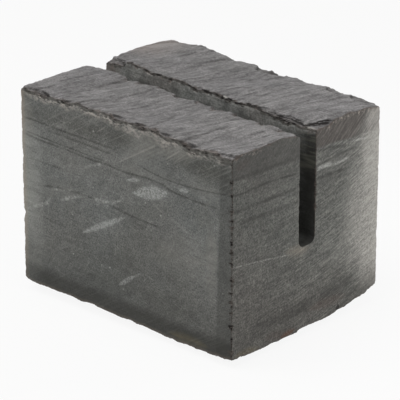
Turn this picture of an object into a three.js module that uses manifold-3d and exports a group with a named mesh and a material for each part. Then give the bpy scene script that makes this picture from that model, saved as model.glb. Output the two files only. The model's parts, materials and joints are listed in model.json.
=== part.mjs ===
// Slate sign holder: a sawn block of split slate with one saw slot along its top for an upright sign,
// standing on four stick-on rubber feet. Millimetres, +Z up. The origin is on the table, under the
// middle of the block. X runs along the slot, Y runs across it, and -Y is the front.

import * as THREE from "three";
import { mergeVertices } from "three/addons/utils/BufferGeometryUtils.js";
import Module from "manifold-3d";

const wasm = await Module();
wasm.setup();

// Block: four sawn sides, and a natural cleft face above and below.
const blockLength = 62;
const blockWidth = 47.5;
const blockHeight = 46; // between the mean levels of the two cleft faces

// Saw slot for the sign, open at both ends.
const signThickness = 5; // thickest sheet that goes in
const signClearance = 0.2; // over the sheet's thickness
const slotDepth = 26.75; // below the mean level of the top
const slotOffset = 0; // of the slot's middle plane from the block's, towards the back
const slotCornerRadius = 1.6; // left by the worn rim of the blade
const sawOverrun = 4; // how far the blade passes the stone

// Stick-on feet, which keep the uneven underside off the table.
const footDiameter = 8;
const footInset = 9.5; // from the sawn sides to a foot's centre
const footThickness = 0.6; // under the lowest dip of the stone, and more elsewhere
const footRimRadius = 0.3;
const adhesiveFilm = 0.3; // between a foot and the stone

// Cleft faces: the spacing of their points, the broken rim round them, and the flakes lost from it.
const facetSize = 1.6;
const rimWidth = 1.1;
const laminaRise = 0.84; // share of a lamina's pitch before its broken edge
const flakeLength = 7;
const flakeWidth = 3.5;
const flakeDepth = 0.5;
const slotFlakeLength = 13; // the larger one beside the slot, at the right end
const slotFlakeWidth = 6;
const slotFlakeDepth = 0.85;
const backFlakeLength = 17; // along the back of the top, at the right end
const backFlakeWidth = 5;
const backFlakeDepth = 0.7;
const footFlakeLength = 18; // under the right rear corner
const footFlakeWidth = 17;
const footFlakeDepth = 1.6;

// Each cleft face leans, swells and steps down at the broken edges of its laminae.
// Leans are mm per mm, headings are degrees from +X, phases are radians, and the rest is mm.
const topCleft = {
  lean: { x: -0.008, y: -0.005 },
  swells: [
    { wave: 66, heading: 12, height: 0.26, phase: 4.7 },
    { wave: 37, heading: 82, height: 0.16, phase: 0.4 },
    { wave: 21, heading: -38, height: 0.1, phase: 1.2 },
  ],
  lamina: { pitch: 10.5, start: 5, heading: -16, height: 0.42, wander: 1.5, wanderWave: 29 },
  rimDepth: 0.5,
};
const lowerCleft = {
  lean: { x: -0.008, y: 0.004 },
  swells: [
    { wave: 44, heading: -62, height: 0.16, phase: 1.2 },
    { wave: 21, heading: 84, height: 0.12, phase: 3.1 },
  ],
  lamina: { pitch: 14, start: 0, heading: 24, height: 0.25, wander: 2, wanderWave: 37 },
  rimDepth: 0.4,
};

// Levels and edges that the pieces share.
const right = blockLength / 2;
const back = blockWidth / 2;
const slotWidth = signThickness + signClearance;
const slotFront = slotOffset - slotWidth / 2;
const slotRear = slotOffset + slotWidth / 2;
const lowerLevel = footThickness + adhesiveFilm + deepestDip(lowerCleft);
const topLevel = lowerLevel + blockHeight;
const slotFloor = topLevel - slotDepth;

// Flakes lost from the rims: where each one centres, how far it reaches and how deep it bites.
const smallFlake = { length: flakeLength, width: flakeWidth, depth: flakeDepth };
const slotFlake = { length: slotFlakeLength, width: slotFlakeWidth, depth: slotFlakeDepth };
const backFlake = { length: backFlakeLength, width: backFlakeWidth, depth: backFlakeDepth };
const footFlake = { length: footFlakeLength, width: footFlakeWidth, depth: footFlakeDepth };
const topFlakes = [
  { x: right, y: slotRear, ...slotFlake },
  { x: right, y: slotFront, ...smallFlake },
  { x: -right, y: slotFront, ...smallFlake },
  { x: -right, y: slotRear, ...smallFlake },
  { x: right, y: back, ...backFlake },
  { x: -right, y: back, ...smallFlake },
  { x: right, y: -back, ...smallFlake },
];
const lowerFlakes = [
  { x: right, y: back, ...footFlake },
  { x: -right, y: -back, ...smallFlake },
  { x: right, y: -back, ...smallFlake },
  { x: right, y: slotOffset, ...smallFlake },
];

const slate = new THREE.MeshStandardMaterial({ color: 0x6a6966, roughness: 0.72, flatShading: true });
const rubber = new THREE.MeshStandardMaterial({ color: 0x1d1d1e, roughness: 0.85 });

// Distance of a point along a heading.
function along(x, y, heading) {
  const angle = THREE.MathUtils.degToRad(heading);
  return x * Math.cos(angle) + y * Math.sin(angle);
}

// Furthest that a cleft face can dip below its mean level.
function deepestDip(cleft) {
  const lean = Math.abs(cleft.lean.x) * blockLength / 2 + Math.abs(cleft.lean.y) * blockWidth / 2;
  const swells = cleft.swells.reduce((sum, swell) => sum + swell.height, 0);
  return lean + swells + cleft.lamina.height / 2;
}

// Height of a cleft face over its mean level, before its rims are broken.
function cleftRelief(x, y, cleft) {
  let height = cleft.lean.x * x + cleft.lean.y * y;
  for (const swell of cleft.swells) {
    height += swell.height * Math.sin((2 * Math.PI * along(x, y, swell.heading)) / swell.wave + swell.phase);
  }
  const { pitch, start, heading, height: drop, wander, wanderWave } = cleft.lamina;
  const across = along(x, y, heading + 90);
  const run = along(x, y, heading) - start + wander * Math.sin((2 * Math.PI * (across + x)) / wanderWave);
  const share = run / pitch - Math.floor(run / pitch);
  const climb = share < laminaRise ? share / laminaRise : (1 - share) / (1 - laminaRise);
  return height + drop * (climb - 0.5);
}

// Raggedness of a broken rim at a distance along it, from 0 to 1.
function ragged(distance) {
  return 0.5 + 0.3 * Math.sin(distance * 1.13 + 0.7) + 0.2 * Math.sin(distance * 2.41);
}

// Depth lost at a point from the rims and the flakes. A rim is [distance from it, distance along it].
function brokenAway(x, y, rims, rimDepth, flakes) {
  let lost = 0;
  for (const [inside, distance] of rims) {
    lost = Math.max(lost, rimDepth * ragged(distance) * Math.max(0, 1 - inside / rimWidth));
  }
  for (const flake of flakes) {
    const reach = Math.hypot((x - flake.x) / flake.length, (y - flake.y) / flake.width);
    lost += flake.depth * Math.max(0, 1 - reach);
  }
  return lost;
}

function outerRims(x, y) {
  return [
    [y + back, x],
    [back - y, x + blockWidth],
    [x + right, y],
    [right - x, y + blockLength],
  ];
}

function topHeight(x, y) {
  const fromSlot = Math.max(slotFront - y, y - slotRear, 0);
  const alongSlot = y < slotOffset ? x - blockWidth : x + blockLength;
  const rims = [...outerRims(x, y), [fromSlot, alongSlot]];
  return topLevel + cleftRelief(x, y, topCleft) - brokenAway(x, y, rims, topCleft.rimDepth, topFlakes);
}

function lowerHeight(x, y) {
  const lost = brokenAway(x, y, outerRims(x, y), lowerCleft.rimDepth, lowerFlakes);
  return lowerLevel + cleftRelief(x, y, lowerCleft) + lost;
}

// Lines across one stretch of a cleft face: one a rim's width inside each end, and even steps between.
function gridLines(from, to) {
  const inner = to - from - 2 * rimWidth;
  const steps = Math.max(1, Math.round(inner / facetSize));
  const lines = Array.from({ length: steps + 1 }, (_, i) => from + rimWidth + (inner * i) / steps);
  return [from, ...lines, to];
}

// Split slab with sawn sides: two cleft faces over one grid, and upright walls between their edges.
function splitSlab() {
  const xs = gridLines(-right, right);
  const ys = [...gridLines(-back, slotFront), slotOffset, ...gridLines(slotRear, back)];
  const columns = ys.length;
  const lowerStart = xs.length * columns;
  const corners = [];
  for (const height of [topHeight, lowerHeight]) {
    for (const x of xs) {
      for (const y of ys) corners.push(x, y, height(x, y));
    }
  }
  const faces = [];
  const quad = (a, b, c, d) => faces.push(a, b, c, a, c, d);
  const top = (i, j) => i * columns + j;
  const lower = (i, j) => lowerStart + top(i, j);
  const lastI = xs.length - 1;
  const lastJ = columns - 1;
  for (let i = 0; i < lastI; i++) {
    for (let j = 0; j < lastJ; j++) {
      quad(top(i, j), top(i + 1, j), top(i + 1, j + 1), top(i, j + 1));
      quad(lower(i, j), lower(i, j + 1), lower(i + 1, j + 1), lower(i + 1, j));
    }
    quad(lower(i, 0), lower(i + 1, 0), top(i + 1, 0), top(i, 0));
    quad(lower(i + 1, lastJ), lower(i, lastJ), top(i, lastJ), top(i + 1, lastJ));
  }
  for (let j = 0; j < lastJ; j++) {
    quad(lower(0, j + 1), lower(0, j), top(0, j), top(0, j + 1));
    quad(lower(lastI, j), lower(lastI, j + 1), top(lastI, j + 1), top(lastI, j));
  }
  const geometry = new THREE.BufferGeometry();
  geometry.setAttribute("position", new THREE.Float32BufferAttribute(corners, 3));
  return geometry.setIndex(faces);
}

// Space that the saw blade clears: the slot's section swept from end to end of the block and past it.
function sawKerf() {
  const half = slotWidth / 2;
  const radius = Math.min(slotCornerRadius, half * 0.95);
  const height = slotDepth + sawOverrun;
  const section = new THREE.Shape();
  section.moveTo(-half, height);
  section.lineTo(-half, radius);
  section.absarc(-half + radius, radius, radius, Math.PI, 1.5 * Math.PI, false);
  section.lineTo(half - radius, 0);
  section.absarc(half - radius, radius, radius, 1.5 * Math.PI, 2 * Math.PI, false);
  section.lineTo(half, height);
  const sweep = blockLength + 2 * sawOverrun;
  const sawPass = { depth: sweep, bevelEnabled: false, curveSegments: 8 };
  const geometry = new THREE.ExtrudeGeometry(section, sawPass);
  const sectionToBlock = new THREE.Matrix4().makeBasis(
    new THREE.Vector3(0, 1, 0),
    new THREE.Vector3(0, 0, 1),
    new THREE.Vector3(1, 0, 0),
  );
  return geometry.applyMatrix4(sectionToBlock).translate(-sweep / 2, slotOffset, slotFloor);
}

// Closed three.js geometry as a solid that can be cut.
function solidOf(geometry) {
  const bare = geometry.clone();
  bare.deleteAttribute("normal");
  bare.deleteAttribute("uv");
  const merged = mergeVertices(bare);
  const vertProperties = new Float32Array(merged.attributes.position.array);
  const triVerts = new Uint32Array(merged.index.array);
  return new wasm.Manifold(new wasm.Mesh({ numProp: 3, vertProperties, triVerts }));
}

// Solid back to three.js geometry.
function geometryOf(solid) {
  const { vertProperties, triVerts } = solid.getMesh();
  const geometry = new THREE.BufferGeometry();
  geometry.setAttribute("position", new THREE.BufferAttribute(vertProperties, 3));
  geometry.setIndex(new THREE.BufferAttribute(triVerts, 1));
  geometry.computeVertexNormals();
  return geometry;
}

function slateBlock() {
  const mesh = new THREE.Mesh(geometryOf(solidOf(splitSlab()).subtract(solidOf(sawKerf()))), slate);
  mesh.name = "slate_block";
  return mesh;
}

// Round rubber foot with a rounded tread. Its upper face follows the cleft face that it is pressed to.
function foot(name, x, y) {
  const radius = footDiameter / 2;
  const rim = Math.min(footRimRadius, footThickness / 2);
  const rings = 4;
  const treadArc = new THREE.Path().absarc(radius - rim, rim, rim, -Math.PI / 2, 0, false).getPoints(4);
  const profile = [new THREE.Vector2(0, 0), ...treadArc];
  for (let ring = 0; ring <= rings; ring++) {
    profile.push(new THREE.Vector2(radius * (1 - ring / rings), footThickness));
  }
  const geometry = new THREE.LatheGeometry(profile, 32).rotateX(Math.PI / 2);
  const points = geometry.attributes.position;
  for (let i = 0; i < points.count; i++) {
    if (points.getZ(i) < footThickness - rim / 2) continue;
    points.setZ(i, lowerHeight(x + points.getX(i), y + points.getY(i)) - adhesiveFilm);
  }
  geometry.computeVertexNormals();
  const mesh = new THREE.Mesh(geometry, rubber);
  mesh.name = name;
  mesh.position.set(x, y, 0);
  return mesh;
}

const signHolder = new THREE.Group();
signHolder.name = "slate_sign_holder";
signHolder.add(slateBlock());
for (const [depthName, depthSign] of [["front", -1], ["rear", 1]]) {
  for (const [sideName, sideSign] of [["left", -1], ["right", 1]]) {
    const name = `foot_${depthName}_${sideName}`;
    signHolder.add(foot(name, sideSign * (right - footInset), depthSign * (back - footInset)));
  }
}

export default signHolder;
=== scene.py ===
"""Slate sign holder: a sawn and split block of slate with a saw slot for a sign, on stick-on rubber feet."""

import json
import math

import bpy
import numpy as np
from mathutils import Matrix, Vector, noise
from mathutils.bvhtree import BVHTree


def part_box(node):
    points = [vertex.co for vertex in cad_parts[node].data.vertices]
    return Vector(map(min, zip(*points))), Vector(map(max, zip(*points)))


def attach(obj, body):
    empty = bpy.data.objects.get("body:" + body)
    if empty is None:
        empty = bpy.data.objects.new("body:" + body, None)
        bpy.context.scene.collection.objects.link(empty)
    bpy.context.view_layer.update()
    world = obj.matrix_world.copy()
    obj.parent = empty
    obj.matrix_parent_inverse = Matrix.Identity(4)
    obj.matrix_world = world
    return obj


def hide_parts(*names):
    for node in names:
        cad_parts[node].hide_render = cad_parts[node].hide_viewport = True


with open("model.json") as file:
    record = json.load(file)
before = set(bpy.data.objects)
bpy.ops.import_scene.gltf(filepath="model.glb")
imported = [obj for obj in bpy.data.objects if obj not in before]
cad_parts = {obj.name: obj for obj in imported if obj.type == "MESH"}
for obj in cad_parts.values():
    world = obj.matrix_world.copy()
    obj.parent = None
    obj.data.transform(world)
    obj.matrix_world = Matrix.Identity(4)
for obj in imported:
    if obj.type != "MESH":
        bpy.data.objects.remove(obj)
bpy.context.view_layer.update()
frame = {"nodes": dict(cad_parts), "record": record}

# Slate block, its shape. One piece of split slate, squared up and slotted with a diamond saw: the four sides
# and the slot are sawn, and the top and underside are left as they split. The saw breaks the brittle laminae
# at the arrises, so those are chipped.

MM = 0.001
cad_block = frame["nodes"]["slate_block"]
block_low, block_high = (np.array(corner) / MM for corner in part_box("slate_block"))
seat = {mount["name"]: np.array(mount["pos_m"]) / MM for mount in frame["record"]["mounts"]}
slot_front = seat["slot_front_wall"][1]
slot_rear = seat["slot_rear_wall"][1]
slot_floor = seat["slot_floor"][2]
slot_corner = 1.6


def spread(start, stop, fine, coarse, margin):
    """Positions from start to stop, close together within a margin of both ends."""
    rim = np.arange(0, margin, fine)
    span = stop - start
    middle = np.linspace(margin, span - margin, round((span - 2 * margin) / coarse) + 1)
    return start + np.concatenate([rim, middle, span - rim[::-1]])


# Grid lines along the slot, across it, and up the sides. Lines across the slot's floor follow its corners.
xs = spread(block_low[0], block_high[0], fine=0.2, coarse=0.34, margin=1.6)
corner_turn = np.radians(np.arange(15, 91, 15))
floor_run = slot_corner * (1 - np.cos(corner_turn))
floor_rise = slot_corner * (1 - np.sin(corner_turn))
slot_ys = np.concatenate([slot_front + floor_run, slot_rear - floor_run[::-1]])
front_ys = spread(block_low[1], slot_front, fine=0.2, coarse=0.5, margin=1.8)
rear_ys = spread(slot_rear, block_high[1], fine=0.2, coarse=0.5, margin=1.8)
ys = np.concatenate([front_ys, slot_ys, rear_ys])
first_wall = len(front_ys) - 1
last_wall = first_wall + len(slot_ys) + 1

# Heights of the two split faces over the grid, read off the frame and eased so that its facets don't show.
cad_corners = [vertex.co for vertex in cad_block.data.vertices]
cad_faces = [face.vertices for face in cad_block.data.polygons]
cad_skin = BVHTree.FromPolygons(cad_corners, cad_faces)
# Rays start this far inside the arrises, in mm, so that each one meets the skin.
ray_inset = 0.03


def split_height(x, y, way):
    """Height in mm of the frame's top (way -1) or underside (way 1) at a point."""
    inside_x = min(max(x, block_low[0] + ray_inset), block_high[0] - ray_inset)
    inside_y = min(max(y, block_low[1] + ray_inset), block_high[1] - ray_inset)
    hit = cad_skin.ray_cast(Vector((inside_x * MM, inside_y * MM, -way)), Vector((0, 0, way)))
    return hit[0].z / MM


def eased(heights, passes):
    """Heights averaged with their neighbours."""
    for _ in range(passes):
        for axis in (0, 1):
            padded = np.concatenate([heights.take([0], axis), heights, heights.take([-1], axis)], axis)
            count = heights.shape[axis]
            before = padded.take(range(count), axis)
            after = padded.take(range(2, count + 2), axis)
            heights = 0.5 * heights + 0.25 * (before + after)
    return heights


# The cleavage's ripples run this many degrees off the way across the block. A lamina's end is a step of this
# height in mm, and the ripples are less than half as high.
ripple_turn = 13
lamina_step = 0.17
ripple_height = 0.07


def riven(x, y, seed):
    """Fine relief of a split face in mm, and how near the point is to a lamina's broken edge, 0 to 1.

    Thin laminae step down at their edges, and the cleavage leaves ripples that run nearly across the block.
    """
    lean = math.radians(ripple_turn)
    along = y * math.cos(lean) + x * math.sin(lean)
    across = x * math.cos(lean) - y * math.sin(lean)
    swell = noise.fractal(Vector((across / 9, along / 24, seed)), 0.9, 2.1, 4)
    level = swell * 2.4
    share = level - math.floor(level)
    edge = max(0, (share - 0.82) / 0.18)
    step = math.floor(level) + edge * edge * (3 - 2 * edge)
    ripple = noise.fractal(Vector((across / 1.1, along / 9, seed + 9)), 0.7, 2.2, 3)
    return lamina_step * step + ripple_height * ripple, 4 * edge * (1 - edge)


def torn_laminae(x, y, tears):
    """Depth in mm lost beside the torn ends of single laminae, and how near the point is to one, 0 to 1."""
    lost = near = 0
    for from_x, from_y, to_x, to_y, drop in tears:
        run = math.hypot(to_x - from_x, to_y - from_y)
        way_x, way_y = (to_x - from_x) / run, (to_y - from_y) / run
        along = (x - from_x) * way_x + (y - from_y) * way_y
        aside = (x - from_x) * way_y - (y - from_y) * way_x + 0.4 * noise.noise(Vector((x / 2, y / 2, drop)))
        tip = min(3, run / 3)
        fade = min(1, max(0, along / tip), max(0, (run - along) / tip))
        if aside > 0:
            lost += drop * fade * min(1, aside / 0.35) * math.exp(-aside / 5)
        near = max(near, fade * max(0, 1 - abs(aside - 0.15) / 0.4))
    return lost, near


def spalled(x, y, flakes):
    """Depth in mm lost at a point to the flakes that came away at the rims, and how near it is to a riser."""
    lost = riser = 0
    for at_x, at_y, length, width, depth in flakes:
        reach = math.hypot((x - at_x) / length, (y - at_y) / width)
        ragged_edge = 0.25 * noise.noise(Vector((x / 1.7, y / 1.7, depth)))
        inside = min(1, max(0, 1.05 - reach + ragged_edge) * 2.4 * min(length, width))
        lost = max(lost, depth * inside)
        riser = max(riser, min(1, 2.5 * depth) * 4 * inside * (1 - inside))
    return lost, riser


def over_grid(function, setting, across=ys):
    """Values over the grid of a function of the place along and across, and of one setting."""
    return np.array([[function(x, y, setting) for y in across] for x in xs])


# Flakes off the two split faces: middle along and across, reach along and across, and depth.
top_flakes = [
    (0.5, 23.7, 4.5, 3, 0.45), (20.5, 23.7, 3.5, 3, 0.4), (26.5, 23.7, 3, 3, 0.35),
    (17.6, 2.4, 3.2, 1.1, 0.6), (23.6, 2.4, 4.2, 1.2, 0.8), (22.2, 2.4, 1.4, 0.8, 1.15),
    (-3, 2.4, 1.5, 0.9, 0.5), (-31, 2.4, 6, 2.2, 0.5),
    (-25.5, -23.75, 3.8, 1.1, 0.45),
]
under_flakes = [(31, -23.7, 4, 4, 0.3), (31, 1.2, 4, 4, 0.15), (31, 23.7, 4, 3, 0.6)]
# Torn ends of single laminae on the top: from and to, along and across, and the drop on their right.
# The short ones lie along the front rim, and one corner of the rear strip broke away at the slot's right end.
top_tears = [
    (-31.3, 6.6, -26.8, 5.8, 0.3),
    (16.5, -24, 16.9, -9, 0.25), (7.2, -24, 3, -10, 0.22), (-20, -15, -18, -3, 0.18),
    (-19, -23.6, -15.6, -22.9, 0.3), (-4.8, -23.5, -0.2, -22.3, 0.45), (2.4, -23.5, 6.4, -22.5, 0.4),
    (10, -23.5, 13.4, -22.7, 0.35), (16.2, -23.5, 21.4, -22.4, 0.45), (26.4, -23.5, 31.4, -22.3, 0.45),
]
corner_tear = (25.7, -0.2, 31.8, 9.8, 0.7)
top = np.full((len(xs), len(ys)), block_high[2])
for strip in (slice(0, first_wall + 1), slice(last_wall, None)):
    nudge = ray_inset if strip.start else -ray_inset
    edge_y = slot_rear if strip.start else slot_front
    inside = np.where(ys[strip] == edge_y, edge_y + nudge, ys[strip])
    top[:, strip] = eased(over_grid(split_height, -1, inside), passes=6)
under = eased(over_grid(split_height, 1), passes=6)
top_seed, under_seed = 3.7, 11.3
top_relief = over_grid(riven, top_seed)
under_relief = over_grid(riven, under_seed)
top_lost = over_grid(spalled, top_flakes)
top += top_relief[:, :, 0] - top_lost[:, :, 0]
torn = over_grid(torn_laminae, top_tears)
corner = over_grid(torn_laminae, [corner_tear])
top -= torn[:, :, 0] + corner[:, :, 0]
# The back right corner is worn down by more than half a millimetre.
from_corner = np.hypot(xs[:, None] - block_high[0], ys - block_high[1])
top -= 0.7 * np.clip(1 - from_corner / 4.5, 0, 1)

# Distances in mm over the grid: from the four sides, and from the slot's walls in the strips beside it.
FAR = 1e3
strip_place = np.arange(len(ys))
from_left = xs[:, None] - block_low[0]
from_right = block_high[0] - xs[:, None]
from_front = ys - block_low[1]
from_back = block_high[1] - ys
before_slot = np.where(strip_place <= first_wall, slot_front - ys, FAR)
behind_slot = np.where(strip_place >= last_wall, ys - slot_rear, FAR)


def rim_rise(along, course, off, reach):
    """Rise in mm beside a rim, from places along it and the rise at each. It fades over a reach."""
    return np.interp(along, *zip(*course)) * np.clip(1 - off / reach, 0, 1)


# Low swells along the front rim and along the slot's rear rim.
front_course = [
    (-31, 0), (-16, 0), (-11, 0.5), (-6, 0.8), (0, 1), (5, 0.6), (10, 0.6), (15, 0.3), (19, 0.2), (23, 0.45),
    (28, 0.6), (31, 0.5),
]
top += rim_rise(xs[:, None], front_course, from_front, 8)
rear_course = [(-26, 0), (-24.2, 0.65), (-22, 0.35), (-18, 0.5), (-9, 0.5), (-3, 0.25), (1, 0)]
top += rim_rise(xs[:, None], rear_course, behind_slot, 6)
# The back rim and the left end rise and dip by up to three quarters of a millimetre.
back_course = [
    (-31, -0.2), (-29.5, -0.25), (-27, -0.5), (-24, -0.25), (-22, 0.05), (-20, 0.7), (-17.5, 0.5),
    (-15, 0.05), (-10.5, -0.2), (-8, 0), (-1, 0), (0.7, 0.45), (3, 0.1), (5.5, -0.25), (8, -0.25),
    (10.4, -0.75), (11.6, -0.7), (14, -0.3), (16.4, -0.2), (18, 0.35), (20, -0.2), (22.5, 0), (26, 0.4),
    (29, 0.2), (31, 0.4),
]
top += rim_rise(xs[:, None], back_course, from_back, 6)
left_course = [
    (-23.7, 0), (-22, 0.1), (-19, 0.15), (-13, 0.22), (-8, 0.05), (-4.5, -0.05), (-2.7, -0.35), (2.7, 0),
    (7, 0.15), (9, 0), (13.5, 0), (15, -0.45), (20, -0.45), (23.7, 0),
]
top += rim_rise(ys, left_course, from_left, 5)
# The front strip also swells at the right arris, and is worn down beside the slot, towards the right.
right_course = [(-21, 0), (-17, 0.5), (-10, 0.5), (-6, 0)]
top += rim_rise(ys, right_course, from_right, 6)
worn_course = [(4, 0), (14, -0.45)]
top += rim_rise(xs[:, None], worn_course, before_slot, 5)
top_ledge = np.maximum(0.5 * top_relief[:, :, 1], torn[:, :, 1])

under_lost = over_grid(spalled, under_flakes)
under += 0.4 * under_relief[:, :, 0] + under_lost[:, :, 0]
# The foot of the front: low at both corners and a little hollow between.
foot_course = [
    (-31, -0.4), (-28, -0.55), (-24, -0.1), (-20, 0.15), (-16, 0.2), (-13.5, 0), (-11, 0.2), (-8, 0.4),
    (-4, 0.25), (0, 0.15), (6, 0.05), (14, 0.05), (17, -0.15), (20, -0.15), (23.5, -0.2), (26, 0),
    (28.5, -0.4), (31, -0.4),
]
under += rim_rise(xs[:, None], foot_course, from_front, 6)
# Under the right end, a shallow hollow behind the front corner and a low swell towards the back.
end_course = 0.5 * np.exp(-((ys + 19.8) / 2.4)**2) - 0.25 * np.exp(-((ys - 13) / 5)**2)
under += end_course * np.clip(1 - from_right / 4, 0, 1)
# Three corners are blunt at the foot: the two right ones and the front left one.
blunt_corners = [
    (block_high[0], block_low[1], 0.15),
    (block_high[0], block_high[1], 0.2),
    (block_low[0], block_low[1], 0.4),
]
for tip_x, tip_y, lost in blunt_corners:
    from_tip = np.hypot(xs[:, None] - tip_x, ys - tip_y)
    under += lost * np.clip(1 - from_tip / 2.4, 0, 1)

# Levels up the sides, closest near the split faces, with one at the foot of the slot's walls.
wall_foot = slot_floor + slot_corner
rim_levels = np.array([0, 0.2, 0.4, 0.62, 0.86, 1.12, 1.4, 1.75, 2.1])
rim_band = 2.45
mean_under, mean_top = under.mean(), top[:, :first_wall].mean()
low_walls = np.linspace(mean_under + rim_band, wall_foot, 50)
high_walls = np.linspace(wall_foot, mean_top - rim_band, 70)[1:]
low_levels = np.concatenate([mean_under + rim_levels, low_walls])
high_levels = np.concatenate([high_walls, (mean_top - rim_levels)[::-1]])
levels = np.concatenate([low_levels, high_levels])
foot_level = len(low_levels) - 1

x_count, y_count, z_count = len(xs), len(ys), len(levels)
heights = np.empty((x_count, y_count, z_count))
floor_profile = slot_floor + np.concatenate([floor_rise, floor_rise[::-1]])
below = (wall_foot - low_levels) / (wall_foot - mean_under)
above = (high_levels - wall_foot) / (mean_top - wall_foot)
heights[:, :, :foot_level + 1] = low_levels + (under[:, :, None] - mean_under) * below
heights[:, :, foot_level + 1:] = high_levels + (top[:, :, None] - mean_top) * above
slot_columns = slice(first_wall + 1, last_wall)
slot_under = under[:, slot_columns, None]
heights[:, slot_columns, :foot_level + 1] = slot_under + (floor_profile[:, None] - slot_under) * (1 - below)

# Skin: the outer faces of that grid, turned outwards, with the finish of each. A sawn face is flat, so it
# keeps the fine grid only round its rim, for the chips, and has wide cells inside.
RIVEN, SAWN_SIDE, SAWN_END, SAWN_SLOT = range(4)
number = np.arange(x_count * y_count * z_count).reshape(x_count, y_count, z_count)
faces = []
finishes = []


def stops(count, rim, wide):
    """Grid steps where the cells of a face start: each one near its rim, and every few inside."""
    if count <= 2 * rim + 2 * wide:
        return list(range(count))
    inside = np.linspace(rim, count - 1 - rim, max(2, round((count - 1 - 2 * rim) / wide) + 1))
    return sorted({*range(rim), *(round(i) for i in inside), *range(count - rim, count)})


def cover(sheet, finish, flip=False, rim=9, wide=7):
    """Adds the faces of a sheet of grid points. Its normal is first axis cross second, unless flipped."""
    fine = finish == RIVEN
    across, up = sheet.shape
    ups = list(range(up)) if fine else stops(up, rim, wide)
    acrosses = list(range(across)) if fine else stops(across, rim, wide)
    coarse_a = {i for i in range(len(acrosses) - 1) if acrosses[i + 1] - acrosses[i] > 1}
    coarse_u = {k for k in range(len(ups) - 1) if ups[k + 1] - ups[k] > 1}
    for i in range(len(acrosses) - 1):
        for k in range(len(ups) - 1):
            a0, a1, u0, u1 = acrosses[i], acrosses[i + 1], ups[k], ups[k + 1]
            if i in coarse_a and k in coarse_u:
                low_a = range(a0, a1) if k - 1 not in coarse_u else [a0]
                high_u = range(u0, u1) if i + 1 not in coarse_a else [u0]
                high_a = range(a1, a0, -1) if k + 1 not in coarse_u else [a1]
                low_u = range(u1, u0, -1) if i - 1 not in coarse_a else [u1]
                loop = [sheet[a, u0] for a in low_a] + [sheet[a1, u] for u in high_u]
                loop += [sheet[a, u1] for a in high_a] + [sheet[a0, u] for u in low_u]
                loops = [loop]
            else:
                loops = [
                    [sheet[a, u], sheet[a + 1, u], sheet[a + 1, u + 1], sheet[a, u + 1]]
                    for a in range(a0, a1) for u in range(u0, u1)
                ]
            for loop in loops:
                faces.append(loop[::-1] if flip else loop)
                finishes.append(finish)


cover(number[:, :first_wall + 1, -1], RIVEN)
cover(number[:, last_wall:, -1], RIVEN)
cover(number[:, :, 0], RIVEN, flip=True)
cover(number[:, 0, :], SAWN_SIDE)
cover(number[:, -1, :], SAWN_SIDE, flip=True)
for end, flip in ((0, True), (-1, False)):
    cover(number[end, :first_wall + 1, :], SAWN_END, flip)
    cover(number[end, last_wall:, :], SAWN_END, flip)
    cover(number[end, first_wall:last_wall + 1, :foot_level + 1], SAWN_END, flip)
cover(number[:, first_wall, foot_level:], SAWN_SLOT, flip=True)
cover(number[:, last_wall, foot_level:], SAWN_SLOT)
cover(number[:, first_wall:last_wall + 1, foot_level], SAWN_SLOT)
used = np.unique(np.concatenate([np.array(loop) for loop in faces]))
new_number = np.full(number.size, -1)
new_number[used] = np.arange(len(used))
faces = [new_number[loop].tolist() for loop in faces]
at_x, at_y, at_z = np.unravel_index(used, number.shape)
points = np.stack([xs[at_x], ys[at_y], heights[at_x, at_y, at_z]], 1)

# Chips. Each arris lies between two faces and is broken back by a depth that varies along it.
depth_from = {
    "top": np.where((at_y > first_wall) & (at_y < last_wall), FAR, top[at_x, at_y] - points[:, 2]),
    "under": points[:, 2] - under[at_x, at_y],
    "front": points[:, 1] - block_low[1],
    "back": block_high[1] - points[:, 1],
    "left": points[:, 0] - block_low[0],
    "right": block_high[0] - points[:, 0],
    "slot front": np.where((at_y <= first_wall) & (at_z > foot_level), slot_front - points[:, 1], FAR),
    "slot rear": np.where((at_y >= last_wall) & (at_z > foot_level), points[:, 1] - slot_rear, FAR),
}
outward = {
    "top": (0, 0, 1), "under": (0, 0, -1), "front": (0, -1, 0), "back": (0, 1, 0),
    "left": (-1, 0, 0), "right": (1, 0, 0), "slot front": (0, 1, 0), "slot rear": (0, -1, 0),
}
# First face, second face, how far a chip reaches down from the first and in from the second, the share of
# the arris that is always lost, the size of the chips, and the shade painted in them, most beside the first
# face.
arrises = [
    ("top", "front", 1.2, 1.3, 0.28, 2.2, 0.75),
    ("top", "back", 0.9, 0.8, 0.3, 2.6, 0.65),
    ("top", "left", 1.1, 0.9, 0.4, 2.6, 0.25),
    ("top", "right", 0.8, 0.6, 0.3, 2.6, 0.35),
    ("top", "slot front", 0.9, 2.2, 0.1, 1.2, 0.2),
    ("top", "slot rear", 1.2, 0.7, 0.4, 1.4, 1),
    ("under", "front", 0.45, 0.7, 0.55, 3.6, 0.3),
    ("under", "back", 0.6, 0.5, 0.2, 2.6, 0.4),
    ("under", "left", 1, 1, 0.4, 2.6, 0.3),
    ("under", "right", 0.5, 0.45, 0.2, 2.6, 0.4),
    ("front", "right", 0.5, 0.7, 0.2, 0.6, 1),
    ("front", "left", 0.35, 0.35, 0.2, 2.2, 0.4),
    ("back", "right", 0.3, 0.3, 0.2, 2.2, 0.4),
    ("back", "left", 0.5, 0.5, 0.25, 2.2, 0.6),
    ("slot front", "right", 0.3, 0.3, 0.05, 1.5, 0.3),
    ("slot rear", "right", 0.4, 0.4, 0.3, 1.5, 0.6),
    ("slot front", "left", 0.3, 0.3, 0.3, 1.5, 0.3),
    ("slot rear", "left", 0.3, 0.3, 0.3, 1.5, 0.3),
]
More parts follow.
